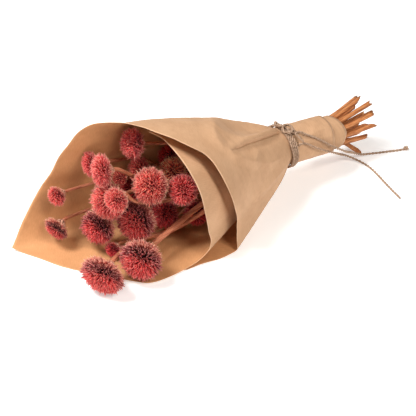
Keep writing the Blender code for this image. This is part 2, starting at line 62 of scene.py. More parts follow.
# The sheet's shape, as the solids have it.
NECK = (35.0, 2.0, 37.0)
MOUTH_DRIFT = (-0.041, 0.101)
SLEEVE_DRIFT = (-0.104, -0.104)
SLEEVE_TAPER = 0.006
SHEET_ROOM = 0.8  # thickness of the solid that the sheet lies in
FIRST_TURN = -20.0
LAST_TURN = 516.0
INNER_NECK = 15.0
OUTER_NECK = 16.3
CREASE_TURN = 495.0
CORNER_TURN = 230.5
LAYER_STEP_TURNS = (300.0, 340.0)
FLOOR_INNER = 1.7
FLOOR_STEP_TURNS = (168.0, 190.0)
FLOOR_BEND = 0.05
FLARE_LENGTH = 5.0
BULGE_LENGTH = 125.0
OPENING = (
    (-20, 0.300), (0, 0.268), (16, 0.250), (36, 0.235), (58, 0.222), (76, 0.218), (95, 0.224), (111, 0.246),
    (128, 0.312), (137, 0.355), (150, 0.365), (165, 0.360), (180, 0.352), (200, 0.345), (215, 0.345),
    (226, 0.352), (237, 0.342), (248, 0.321), (261, 0.301), (274, 0.290), (288, 0.288), (297, 0.298),
    (311, 0.329), (322, 0.344), (332, 0.342), (345, 0.332), (362, 0.318), (378, 0.307), (394, 0.300),
    (411, 0.292), (430, 0.285), (448, 0.280), (460, 0.286), (470, 0.305), (485, 0.395), (496, 0.500),
    (499, 0.475), (504, 0.432), (510, 0.395), (516, 0.365),
)
FLARE = ((-20, 1.0), (350, 1.0), (394, 1.2), (430, 1.6), (460, 2.2), (485, 4.0), (496, 5.0), (516, 3.0))
BULGE = ((-20, 0.0), (130, 0.0), (200, 0.0), (260, 1.0), (300, 5.0), (330, 6.0), (360, 5.0), (400, 2.5), (450, 1.0),
         (490, 0.0), (516, 0.0))
MOUTH_EDGE = (
    (-20, -79.5), (-5, -75.5), (14, -75.0), (35, -74.0), (58, -72.5), (77, -72.0), (111, -68.0), (128, -64.5),
    (133.5, -66.0), (138, -71.5), (143, -79.0), (147.5, -89.0), (151, -100.0), (154.5, -110.0), (158, -116.5),
    (163, -121.5), (169, -127.0), (190.7, -146.7), (202.6, -157.3), (215.7, -165.7), (230.5, -176.9), (238, -168.4),
    (248.8, -157.4), (262, -146.2), (275, -136.4), (289, -130.9), (298, -125.4), (311, -117.9), (319.8, -111.3),
    (327, -104.5), (334, -96.5), (341, -91.0), (348, -87.0), (355, -84.0), (362.4, -79.0), (369.8, -73.4),
    (378.8, -67.4), (387.7, -60.5), (394, -58.0), (411, -54.9), (426, -52.2), (448.6, -47.8), (471, -43.0),
    (486, -43.0), (495, -43.5), (500.9, -58.0), (507.3, -73.6), (511, -86.0), (516, -92.0),
)
SLEEVE_EDGE = ((-20, 88.0), (30, 92.0), (60, 93.0), (90, 91.0), (150, 87.0), (340, 81.0), (400, 80.0), (440, 78.5),
               (516, 83.0))
SHEET = 0.3  # the paper's own thickness
COLUMN_TURNS = 1.4
MOUTH_ROWS = 78
SLEEVE_ROWS = 20

# Soft folds pressed into the sheet. Each one has a line of (turn, x) places, its height, its half width and how sharp
# it is.
FOLDS = (
    (((330, -12), (354, -27), (367, -36), (377, -39.5), (385, -38.5), (392, -34)), 2.4, 13.0, 1.5),
    (((393, -34), (399, -31), (404, -24), (412, -14), (403, -6)), 2.8, 7.0, 1.2),
    (((412, -14), (424, 4), (430, 24)), 1.6, 7.0, 1.2),
    (((442, 33), (450, 20), (458, 4), (464, -14)), 2.4, 9.0, 1.3),
    (((342, 66), (372, 70), (398, 60), (420, 66)), 0.8, 4.5, 1.2),
    (((402, 79), (396, 70), (405, 58), (398, 48)), 0.9, 4.5, 1.2),
    (((380, 46), (362, 58), (346, 72)), 0.8, 5.0, 1.2),
    (((430, 48), (418, 60), (426, 74)), 0.8, 5.0, 1.2),
)
# The pleat that runs out from the twine on the top of the wrap, as a line of (turn, x) places from its tip. The sheet
# rises to a rolled edge along it and drops into a narrow groove behind the edge.
PLEAT = ((390.5, -34.0), (388.5, -20.9), (385.8, -10.3), (384.1, 2.3), (379.7, 17.0), (372.0, 31.0))
PLEAT_HEIGHT = ((-36.0, 0.0), (-20.0, 1.6), (2.0, 2.7), (18.0, 2.8), (31.0, 1.6), (35.0, 0.0))  # by x
PLEAT_CREST = (2.0, 3.4)  # how far above the edge the sheet is highest, and the half width of its rise
PLEAT_GROOVE = (0.7, 0.6, 1.5)  # the groove's distance below the edge, its half width and its depth
PLEAT_VALLEY = (4.0, 3.6, 1.6)  # the same of the soft valley below it
# How far the outer layer stands off by its edge, by turn, and how far back from the edge that reaches.
EDGE_LIFT = ((372.0, 0.0), (388.0, 1.8), (402.0, 2.9), (455.0, 2.9), (476.0, 1.4), (490.0, 0.0))
EDGE_LIFT_REACH = 14.0
EDGE_SINK = 0.55  # the inner layer's dip below that edge, as a share of the lift
# The dent on the top of the wrap above the pleat: its middle, its reach in turns and in x, and its depth.
DENT = ((357.0, 0.0), (25.0, 29.0), 5.0)
GATHERS = 15
GATHER_DEPTH = 1.0
GATHER_LENGTH = 11.0
FINE_TURNS = (352.0, 412.0)
FINE_COLUMN_TURNS = 0.8
OUTER_LAYER_TURNS = (318.0, 336.0)  # where the folds fade in, as the sheet becomes the outer layer
CRUMPLE = 0.75  # height of the crumples on the sleeve
WAVE = 0.6  # height of the sheet's slow waves
SMALL_WAVE = 0.24

# The twine, and the routes of its two free ends.
TWINE = 2.1
TWINE_TURNS = 4
TWINE_PITCH = 1.85
KNOT_TURN = 14.0
KNOT_X = 40.0
TAIL_REST = TWINE / 2 + 0.1
TAIL_SHORT = (
    (43.1, -8.1, 52.9), (47.6, -9.4, 52.9), (52.5, -12.0, 49.9), (62, -17.0, 43.8), (72, -20.4, 35.4), (80, -21.7, 29),
    (88, -21.2, 22.6), (95, -19.2, 17), (102, -17.2, 12), (109, -16.2, 7), (116, -16.6, 3.2), (123, -18.2, 1.6),
    (130, -21.3, TAIL_REST), (138, -25.2, TAIL_REST), (146, -29.2, TAIL_REST), (155, -33, TAIL_REST),
)
TAIL_LONG = (
    (43.1, -14.8, 45.6), (47.2, -15.9, 45.8), (50.5, -17.2, 43.9), (54.5, -18.8, 41.0), (63, -20.6, 35.0),
    (73, -20.9, 28.2), (82, -19.3, 21.6), (90, -16.2, 15.2), (97, -14.0, 9.8), (103.5, -14.6, 5.0), (108, -18.0, 2.2),
    (110.3, -24, TAIL_REST), (110.4, -32, TAIL_REST), (108.6, -42, TAIL_REST), (106, -53, TAIL_REST),
    (103.4, -64, TAIL_REST), (101, -76, TAIL_REST),
)
TWIST = 6.2  # along the twine, for each turn of its two plies
PLY = 0.56  # ply's radius as a share of the twine's
PLY_OFFSET = 0.46
PLY_SIDES = 7
TWINE_STEP = 0.8
TWINE_WANDER = 0.9  # how far the turns stray along the neck
KNOT_SIZE = (1.3, 1.3, 1.15)  # of the knot's strands, round the neck, along it and out from it

# Each flower's head: its middle, its width and the way it faces, then, from 0 to 1, how dark it is behind its face,
# how brown it has dried and how much darker and redder it is drawn.
HEADS = (
    ((-146, -18, 18), 33, (-0.85, -0.42, -0.15), 0.75, 0.0, 0.0),
    ((-116, -23, 20), 31, (-0.80, -0.52, 0.10), 0.85, 0.0, 0.0),
    ((-121, 25, 21), 27, (-0.87, -0.30, 0.15), 1.00, 0.0, 0.2),
    ((-97.8, 8.4, 26), 30, (-0.80, -0.42, 0.30), 0.85, 0.0, 0.0),
    ((-115, 17, 48), 28, (-0.80, -0.30, 0.25), 0.25, 0.1, 0.0),
    ((-121, -3, 65), 19, (-0.92, -0.25, 0.10), 0.10, 0.1, 0.0),
    ((-145, 47, 17), 20, (-0.85, -0.20, -0.30), 0.80, 0.1, 0.0),
    ((-140, 50, 44), 15.5, (-0.92, -0.15, 0.05), 0.15, 0.1, 0.0),
    ((-113, 42, 66), 19, (-0.95, 0.15, 0.15), 0.25, 0.0, 0.1),
    ((-117, 20, 75), 24, (-0.93, 0.20, 0.20), 0.0, 0.0, 0.0),
    ((-84, 28, 79.5), 23, (-0.90, 0.20, 0.25), 0.10, 0.0, 0.2),
    ((-88.6, 1.1, 58.8), 27, (-0.70, -0.35, 0.50), 0.35, 0.2, 0.1),
    ((-79, 29, 52), 20, (-0.85, 0.05, 0.40), 0.20, 0.2, 0.2),
    ((-51.7, 28.5, 52.2), 19.5, (-0.75, 0.20, 0.60), 0.40, 0.0, 0.6),
    ((-62, 10, 54), 22, (-0.70, -0.20, 0.60), 0.25, 0.8, 0.0),
    ((-69, -12, 54), 23, (-0.65, -0.45, 0.60), 0.35, 0.0, 0.1),
    ((-72, 9, 19), 23, (-0.80, -0.45, 0.25), 0.40, 0.0, 0.6),
    ((-50.4, -3.4, 16.5), 20, (-0.65, -0.65, 0.20), 0.50, 0.0, 0.7),
    ((-120, 9, 8.5), 13, (-0.90, -0.35, -0.05), 0.50, 0.0, 0.8),
    ((-84, 35, 32), 19, (-0.90, -0.10, 0.25), 0.40, 0.0, 0.5),
    ((-93, 35.5, 47.5), 13, (-0.75, -0.15, 0.60), 0.10, 0.3, 0.0),
    ((-38, 6, 46), 19, (-0.80, 0.10, 0.50), 0.50, 0.0, 0.4),
)
FLAT_HEADS = {1: 0.76, 7: 0.8, 9: 0.85, 10: 0.76}  # heads less deep than the rest, with the share of depth they keep

# A head's core, as shares of its width: half across, half deep in front of its middle and half deep behind it.
CORE = (0.30, 0.235, 0.19)
CORE_BACK = 0.02
BRISTLES = 2.3  # for each square millimetre of a head's width squared
BRISTLE = (0.33, 0.38, 0.26)  # half widths at the foot, the middle and near the tip
BRISTLE_LENGTH = (0.15, 0.215)  # on the face and at the sides, as shares of the head's width
LAST_BRISTLE = math.radians(148)  # from the middle of the face
PALE_FOOT = 0.32  # how far up its colours a bristle starts on a head with no dark band
BAND_WAY = (0.30, 0.25, 0.92)  # the side on which the dark band reaches furthest over the face

# The calyx's rings from the head backward, as their radius and their place along the head, in shares of its width.
CALYX = ((0.20, -0.10), (0.155, -0.19), (0.115, -0.24), (0.092, -0.30), (0.08, -0.36))

# Stems of small heads start thinner, and all are equally thick by the neck.
STEM = 4.2
STEM_THIN = 2.9
STEM_THIN_HEADS = (14.0, 30.0)
STEM_TAPER_X = (-60.0, 15.0)
STEM_SIDES = 14
STEM_STEP = 2.6
RIDGES = 6
STEM_FIT = 0.94  # width of the ridged stem as a share of its solid's
STEM_SLIM = 0.18  # how much thinner the stems of smaller heads are inside the wrap


def place(point):
    """A point of the layout, in metres in the frame."""
    return (Vector(point) + Vector(TO_MIDDLE)) * MM


@functools.lru_cache(maxsize=None)
def slopes(table):
    """Slopes of the smooth curve through a table of (place, value) pairs, one at each pair."""
    runs = [(x1 - x0, (y1 - y0) / (x1 - x0)) for (x0, y0), (x1, y1) in zip(table, table[1:])]
    found = [runs[0][1]]
    for (h0, d0), (h1, d1) in zip(runs, runs[1:]):
        w0, w1 = 2 * h1 + h0, h1 + 2 * h0
        found.append((w0 + w1) / (w0 / d0 + w1 / d1) if d0 * d1 > 0 else 0.0)
    return (*found, runs[-1][1])


def follow(table, at):
    """Reads a table of (place, value) pairs as one smooth curve that never swings past its values."""
    i = min(max(bisect.bisect_left(table, (at,)) - 1, 0), len(table) - 2)
    (x0, y0), (x1, y1) = table[i:i + 2]
    m0, m1 = slopes(table)[i:i + 2]
    h = x1 - x0
    s = (at - x0) / h
    return (
        (1 + 2 * s) * (1 - s) ** 2 * y0 + s * (1 - s) ** 2 * h * m0
        + s * s * (3 - 2 * s) * y1 + s * s * (s - 1) * h * m1
    )


def step(at, low, high):
    """0 before low, 1 past high and smooth between."""
    s = min(max((at - low) / (high - low), 0.0), 1.0)
    return s * s * (3 - 2 * s)


def axis_at(x):
    """Middle of the wrap at x, as (y, z)."""
    toward = NECK[0] - x
    drift = MOUTH_DRIFT if toward > 0 else (-SLEEVE_DRIFT[0], -SLEEVE_DRIFT[1])
    return NECK[1] + drift[0] * toward, NECK[2] + drift[1] * toward


def wrap_radius(turn, x):
    """Distance of the sheet's middle from the wrap's axis."""
    neck = INNER_NECK + (OUTER_NECK - INNER_NECK) * step(turn, *LAYER_STEP_TURNS)
    toward = NECK[0] - x
    if toward <= 0:
        return neck + SLEEVE_TAPER * toward
    flare = follow(FLARE, turn) * (1 - math.exp(-toward / FLARE_LENGTH))
    s = min(toward / BULGE_LENGTH, 1.0)
    return neck + follow(OPENING, turn) * toward + flare + follow(BULGE, turn) * 4 * s * (1 - s)


def wrap_point(turn, x, lift):
    """A point of the sheet, lifted off its smooth shape. What would pass through the floor lies flat on it."""
    y, z = axis_at(x)
    a = math.radians(turn)
    r = wrap_radius(turn, x) + lift
    floor = FLOOR_INNER + (SHEET_ROOM / 2 - FLOOR_INNER) * step(turn, *FLOOR_STEP_TURNS)
    over = z + r * math.cos(a) - floor
    bend = max(FLOOR_BEND * (NECK[0] - x), 0.01)
    if over < bend:
        over = (over + bend) ** 2 / (4 * bend) if over > -bend else 0.0
    return (x, y - r * math.sin(a), floor + over)


def add_node(tree, kind, inputs=(), **settings):
    """A shader node with its settings and inputs. An input that is a socket is linked."""
    made = tree.nodes.new(kind)
    for key, value in settings.items():
        setattr(made, key, value)
    for key, value in dict(inputs).items():
        if isinstance(value, bpy.types.NodeSocket):
            tree.links.new(value, made.inputs[key])
        else:
            made.inputs[key].default_value = value
    return made


def ramp(tree, factor, stops):
    """A colour ramp with (place, colour) stops."""
    made = add_node(tree, "ShaderNodeValToRGB", {"Fac": factor})
    while len(made.color_ramp.elements) < len(stops):
        made.color_ramp.elements.new(0.5)
    for element, (at, colour) in zip(made.color_ramp.elements, stops):
        element.position = at
        element.color = (*colour, 1.0)
    return made.outputs["Color"]


def mix(tree, kind, factor, a, b):
    made = add_node(tree, "ShaderNodeMix", data_type="RGBA", blend_type=kind)
    for key, value in (("Factor_Float", factor), ("A_Color", a), ("B_Color", b)):
        socket = next(s for s in made.inputs if s.identifier == key)
        if isinstance(value, bpy.types.NodeSocket):
            tree.links.new(value, socket)
        else:
            socket.default_value = value if key == "Factor_Float" else (*value, 1.0)
    return next(s for s in made.outputs if s.identifier == "Result_Color")


def noise_of(tree, vector, scale, detail=3.0, roughness=0.5):
    inputs = {"Vector": vector, "Scale": scale, "Detail": detail, "Roughness": roughness}
    return add_node(tree, "ShaderNodeTexNoise", inputs).outputs["Fac"]


def stretched(tree, vector, scale):
    return add_node(tree, "ShaderNodeMapping", {"Vector": vector, "Scale": scale}).outputs["Vector"]


def attribute(tree, name, output="Fac"):
    return add_node(tree, "ShaderNodeAttribute", attribute_name=name).outputs[output]


def bump(tree, shader, height, distance, strength):
    made = add_node(tree, "ShaderNodeBump", {"Height": height, "Distance": distance, "Strength": strength})
    tree.links.new(made.outputs["Normal"], shader.inputs["Normal"])


def start_material(name, roughness, specular):
    made = bpy.data.materials.new(name)
    made.use_nodes = True
    shader = made.node_tree.nodes["Principled BSDF"]
    shader.inputs["Roughness"].default_value = roughness
    shader.inputs["Specular IOR Level"].default_value = specular
    return made, made.node_tree, shader


def kraft_material():
    """Brown paper: long fibres across the sheet, faint machine ribs, mottling and small flecks."""
    made, tree, shader = start_material("kraft_paper_look", 0.72, 0.3)
    flat = attribute(tree, "sheet", "Vector")
    fibres = noise_of(tree, stretched(tree, flat, (0.25, 1.6, 1.0)), 1.1, 5.0, 0.65)
    mottle = noise_of(tree, flat, 0.07, 3.0, 0.55)
    grain = noise_of(tree, flat, 2.6, 3.0, 0.7)
    tone = ramp(tree, mottle, ((0.32, (0.535, 0.312, 0.175)), (0.68, (0.605, 0.366, 0.213))))
    streak = ramp(tree, fibres, ((0.3, (0.86, 0.84, 0.80)), (0.72, (1.08, 1.09, 1.11))))
    body = mix(tree, "MULTIPLY", 0.8, tone, streak)
    fleck = ramp(tree, grain, ((0.24, (0.62, 0.56, 0.50)), (0.36, (1.0, 1.0, 1.0))))
    body = mix(tree, "MULTIPLY", 0.45, body, fleck)
    ribs = add_node(tree, "ShaderNodeTexWave", {"Vector": flat, "Scale": 0.33, "Distortion": 0.6, "Detail": 1.0},
                    wave_type="BANDS", bands_direction="Y").outputs["Fac"]
    body = mix(tree, "MULTIPLY", 0.10, body, ramp(tree, ribs, ((0.0, (0.86, 0.85, 0.83)), (1.0, (1.0, 1.0, 1.0)))))
    # The sheet's inside face is painted warmer and darker: painted warm bounce light and shade.
    painted_bounce_shade = mix(tree, "MULTIPLY", 1.0, body, (1.05, 0.86, 0.65))
    body = mix(tree, "MIX", attribute(tree, "inside"), body, painted_bounce_shade)
    # A painted highlight: the sheet is painted lighter and paler along its cut edges.
    cut = ramp(tree, attribute(tree, "edge"), ((0.68, (1.0, 1.0, 1.0)), (0.95, (1.28, 1.45, 1.7))))
    body = mix(tree, "MULTIPLY", 1.0, body, cut)
    tree.links.new(body, shader.inputs["Base Color"])
    height = add_node(tree, "ShaderNodeMath", {0: fibres, 1: grain}, operation="ADD").outputs[0]
    bump(tree, shader, height, 0.12 * MM, 0.45)
    return made


def bristle_material():
    """Bristles, dark at the foot and pale at the tip, with a darker band behind the face and a pale rim."""
    made, tree, shader = start_material("dried_bristles_look", 0.62, 0.25)
    along = attribute(tree, "along")
    chance = attribute(tree, "chance")
    place_noise = noise_of(tree, add_node(tree, "ShaderNodeTexCoord").outputs["Object"], 260.0, 3.0, 0.6)
    # The bristles darken to a deep red toward the foot; the near-black at the very foot of each ramp is painted deep
    # shade between the bristles.
    face = ramp(tree, along, (
        (0.0, (0.060, 0.001, 0.004)), (0.35, (0.40, 0.010, 0.017)), (0.60, (0.88, 0.056, 0.060)),
        (0.85, (0.97, 0.160, 0.150)), (1.0, (1.00, 0.44, 0.37)),
    ))
    band = ramp(tree, along, (
        (0.0, (0.005, 0.001, 0.001)), (0.50, (0.035, 0.003, 0.004)), (0.74, (0.34, 0.036, 0.042)),
        (1.0, (0.92, 0.34, 0.31)),
    ))
    rim = ramp(tree, along, (
        (0.0, (0.10, 0.006, 0.010)), (0.5, (0.74, 0.10, 0.085)), (0.8, (0.93, 0.28, 0.215)), (1.0, (0.98, 0.60, 0.44)),
    ))
    colour = mix(tree, "MIX", attribute(tree, "band"), face, band)
    colour = mix(tree, "MIX", attribute(tree, "rim"), colour, rim)
    browner = mix(tree, "MULTIPLY", 1.0, colour, (0.98, 2.30, 1.35))
    colour = mix(tree, "MIX", attribute(tree, "brown"), colour, browner)
    # Each head's share draws it darker and redder.
    redder = mix(tree, "MULTIPLY", 1.0, colour, (0.82, 0.42, 0.52))
    colour = mix(tree, "MIX", attribute(tree, "darker_redder"), colour, redder)
    varied = ramp(tree, chance, ((0.0, (0.50, 0.44, 0.48)), (0.5, (1.0, 1.0, 1.0)), (1.0, (1.18, 1.45, 1.40))))
    colour = mix(tree, "MULTIPLY", 0.85, colour, varied)
    patch = ramp(tree, place_noise, ((0.3, (0.78, 0.72, 0.74)), (0.7, (1.1, 1.12, 1.1))))
    colour = mix(tree, "MULTIPLY", 0.6, colour, patch)
    tree.links.new(colour, shader.inputs["Base Color"])
    return made


def calyx_material():
    """Pale dry scales with streaks along them."""
    made, tree, shader = start_material("dried_calyx_look", 0.7, 0.3)
    where = add_node(tree, "ShaderNodeTexCoord").outputs["Object"]
    streak = noise_of(tree, stretched(tree, where, (240, 900, 900)), 1.0, 3.0)
    colour = ramp(tree, streak, ((0.3, (0.58, 0.25, 0.16)), (0.7, (0.84, 0.50, 0.34))))
    tree.links.new(colour, shader.inputs["Base Color"])
    bump(tree, shader, streak, 0.2 * MM, 0.5)
    return made


def stem_material():
    """Dried stems: streaks along them, redder inside the wrap and paler on the cut."""
    made, tree, shader = start_material("dried_stem_look", 0.66, 0.3)
    where = add_node(tree, "ShaderNodeTexCoord").outputs["Object"]
    streak = noise_of(tree, stretched(tree, where, (60, 950, 950)), 1.0, 4.0, 0.6)
    blotch = noise_of(tree, where, 70.0, 3.0, 0.6)
    out = ramp(tree, streak, (
        (0.28, (0.25, 0.072, 0.022)), (0.5, (0.50, 0.185, 0.062)), (0.72, (0.72, 0.335, 0.125)),
    ))
    inside = ramp(tree, streak, (
        (0.28, (0.30, 0.080, 0.040)), (0.5, (0.52, 0.175, 0.092)), (0.72, (0.72, 0.32, 0.17)),
    ))
    colour = mix(tree, "MIX", attribute(tree, "outside"), inside, out)
    blotches = ramp(tree, blotch, ((0.3, (0.72, 0.62, 0.56)), (0.62, (1.0, 1.0, 1.0))))
    colour = mix(tree, "MULTIPLY", 0.7, colour, blotches)
    colour = mix(tree, "MIX", attribute(tree, "cut"), colour, (0.66, 0.34, 0.13))
    tree.links.new(colour, shader.inputs["Base Color"])
    bump(tree, shader, streak, 0.35 * MM, 0.7)
    return made


def twine_material():
    """Jute: hairy fibres that run round the plies, with pale and dark strands."""
    made, tree, shader = start_material("jute_twine_look", 0.82, 0.2)
    where = add_node(tree, "ShaderNodeTexCoord").outputs["Object"]
    strand = noise_of(tree, where, 900.0, 4.0, 0.7)
    blotch = noise_of(tree, where, 120.0, 2.0)
    colour = ramp(tree, strand, ((0.25, (0.20, 0.12, 0.075)), (0.5, (0.44, 0.30, 0.205)), (0.75, (0.68, 0.51, 0.38))))
    tint = ramp(tree, blotch, ((0.3, (0.86, 0.80, 0.78)), (0.7, (1.06, 1.04, 1.04))))
    colour = mix(tree, "MULTIPLY", 0.7, colour, tint)
    tree.links.new(colour, shader.inputs["Base Color"])
    bump(tree, shader, strand, 0.3 * MM, 0.8)
    return made


def floor_material():
    """A pale matt floor that glows a little, so that it stays bright."""
    made, tree, shader = start_material("pale_floor", 0.8, 0.1)
    where = add_node(tree, "ShaderNodeTexCoord").outputs["Object"]
    soft = noise_of(tree, where, 3.0)
    colour = ramp(tree, soft, ((0.3, (0.90, 0.895, 0.89)), (0.7, (0.92, 0.915, 0.91))))
    tree.links.new(colour, shader.inputs["Base Color"])
    tree.links.new(colour, shader.inputs["Emission Color"])
    shader.inputs["Emission Strength"].default_value = FLOOR_GLOW
    return made


def add_piece(name, points, faces, mat, slot, nodes=(), values=()):
    """A piece from points of the layout, with any values that its material reads at each point."""
    mesh = bpy.data.meshes.new(name)
    placed = (np.asarray(points, float) + np.array(TO_MIDDLE)) * MM
    mesh.from_pydata(placed.tolist(), [], faces)
    for key, kind, data in values:
        layer = mesh.attributes.new(key, kind, "POINT")
        layer.data.foreach_set("vector" if kind == "FLOAT_VECTOR" else "value", np.asarray(data, np.float32).ravel())
    mesh.polygons.foreach_set("use_smooth", [True] * len(mesh.polygons))
    mesh.materials.append(mat)
    mesh.update()
    ob = bpy.data.objects.new(name, mesh)
    bpy.context.scene.collection.objects.link(ob)
    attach(ob, BODY)
    if nodes:
        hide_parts(*nodes)
    return ob


def smooth_route(route, step_length):
    """Points at even steps on a smooth curve through all the points of a route."""
    pts = np.array([tuple(p) for p in route], float)
    pts = np.vstack([2 * pts[0] - pts[1], pts, 2 * pts[-1] - pts[-2]])
    fine = []
    for i in range(1, len(pts) - 2):
        p0, p1, p2, p3 = pts[i - 1:i + 3]
        for k in range(20):
            s = k / 20
            fine.append(0.5 * (2 * p1 + (p2 - p0) * s + (2 * p0 - 5 * p1 + 4 * p2 - p3) * s * s
                               + (3 * p1 - p0 - 3 * p2 + p3) * s ** 3))
    fine.append(pts[-2])
    fine = np.array(fine)
    lengths = np.concatenate([[0], np.cumsum(np.linalg.norm(np.diff(fine, axis=0), axis=1))])
    at = np.linspace(0, lengths[-1], max(2, round(lengths[-1] / step_length)) + 1)
    return np.stack([np.interp(at, lengths, fine[:, c]) for c in range(3)], axis=1)


def frames_along(points):
    """Directions along a line of points, and two across it that turn as little as they can."""
    points = np.asarray(points, float)
    ahead = np.gradient(points, axis=0)
    ahead /= np.linalg.norm(ahead, axis=1, keepdims=True)
    side = np.cross(ahead[0], (0, 0, 1))
    if np.linalg.norm(side) < 0.1:
        side = np.cross(ahead[0], (0, 1, 0))
    sides = []
    for way in ahead:
        side = side - way * (side @ way)
        side = side / np.linalg.norm(side)
        sides.append(side)
    sides = np.array(sides)
    return ahead, sides, np.cross(ahead, sides)


def loft(rings):
    """The points in one list, and the faces, of a closed body through rings of the same number of points."""
    count, sides = len(rings), len(rings[0])
    faces = [
        (i * sides + k, i * sides + (k + 1) % sides, (i + 1) * sides + (k + 1) % sides, (i + 1) * sides + k)
        for i in range(count - 1) for k in range(sides)
    ]
    faces.append(tuple(reversed(range(sides))))
    faces.append(tuple(range((count - 1) * sides, count * sides)))
    return np.concatenate(rings), faces


def twisted(points, rng, hairs_per_mm=1.1, reach=(0.5, 1.5), taper_end=False):
    """Two plies of twine wound round each other along points, with loose fibres."""
    ahead, u, v = frames_along(points)
    run = np.concatenate([[0], np.cumsum(np.linalg.norm(np.diff(points, axis=0), axis=1))])
    half = TWINE / 2
    verts, faces, base = [], [], 0
    for ply in (0, 1):
        rings = []
        for i, p in enumerate(points):
            a = math.tau * run[i] / TWIST + math.pi * ply
            outward = u[i] * math.cos(a) + v[i] * math.sin(a)
            across = np.cross(ahead[i], outward)
            left = run[-1] - run[i]
            size = half * PLY * (1 + 0.10 * noise.noise(Vector(p * 0.45) + Vector((ply * 9.0, 0, 0))))
            if taper_end and left < 2.0:
                size *= 0.45 + 0.275 * left
            middle = p + outward * half * PLY_OFFSET
            angles = math.tau * np.arange(PLY_SIDES) / PLY_SIDES
            rings.append(middle + size * (np.outer(np.cos(angles), outward) + np.outer(np.sin(angles), across)))
        pts, fcs = loft(rings)
        verts.append(pts)
        faces += [tuple(k + base for k in f) for f in fcs]
        base += len(pts)
    hairs = int(run[-1] * hairs_per_mm)
    for _ in range(hairs):
        i = rng.randrange(len(points) - 1)
        a = rng.uniform(0, math.tau)
        outward = u[i] * math.cos(a) + v[i] * math.sin(a)
        lean = ahead[i] * rng.uniform(-1.4, 1.4) + np.cross(ahead[i], outward) * rng.uniform(-0.8, 0.8)
        way = outward * rng.uniform(0.35, 1.0) + lean
        way /= np.linalg.norm(way)
        foot = points[i] + outward * half * 0.8
        tip = foot + way * rng.uniform(*reach)
        tip[2] = max(tip[2], 0.1)
        thin = np.cross(way, outward)
        thin = thin / (np.linalg.norm(thin) + 1e-9) * 0.06
        other = np.cross(way, thin)
        verts.append(np.array([foot + thin, foot - thin * 0.5 + other, foot - thin * 0.5 - other, tip]))
        faces += [(base, base + 1, base + 3), (base + 1, base + 2, base + 3), (base + 2, base, base + 3),
                  (base + 2, base + 1, base)]
        base += 4
    return np.concatenate(verts), faces


def twine_ends(mat, rng):
    """The two free ends of the twine. The short one ends in a small knot and the long one is cut."""
    short = smooth_route(TAIL_SHORT, TWINE_STEP)
    end, before = short[-1], short[-6]
    way = (end - before) / np.linalg.norm(end - before)
    up = np.array((0.0, 0.0, 1.0))
    across = np.cross(way, up)
    middle = end - way * 2.2 + up * 1.0
    coil = [
        middle + way * (t * 0.42 - 1.6) + (across * math.cos(t * 1.35) + up * math.sin(t * 1.35)) * 1.15
        for t in np.linspace(0, 8.4, 40)
    ]
    knot = add_piece("twine_end_knot", *twisted(np.array(coil), rng, 2.0, (0.4, 1.2)), mat, "jute_twine")
    for name, route, far_end, extra in (
        ("twine_short_end", short, "knot", [knot]),
        ("twine_long_end", smooth_route(TAIL_LONG, TWINE_STEP), "bare", []),
    ):
        node = "twine_tail_short" if far_end == "knot" else "twine_tail_long"
        made = add_piece(name, *twisted(route, rng, taper_end=True), mat, "jute_twine", [node])


def sheet_outside(turn, x):
    """Radius of the wrap's outside at a turn, whichever layer is outermost within a twine's bend of it."""
    return max(
        wrap_radius(t, x)
        for near in (-24, -12, 0, 12, 24)
        for t in ((turn + near) % 360, (turn + near) % 360 + 360)
        if FIRST_TURN <= t <= LAST_TURN
    ) + SHEET_ROOM / 2


def around_neck(turn, x, lift):
    """A point that stands off the wrap's outside."""
    y, z = axis_at(x)
    a = math.radians(turn)
    r = sheet_outside(turn, x) + lift
    return np.array((x, y - r * math.sin(a), z + r * math.cos(a)))


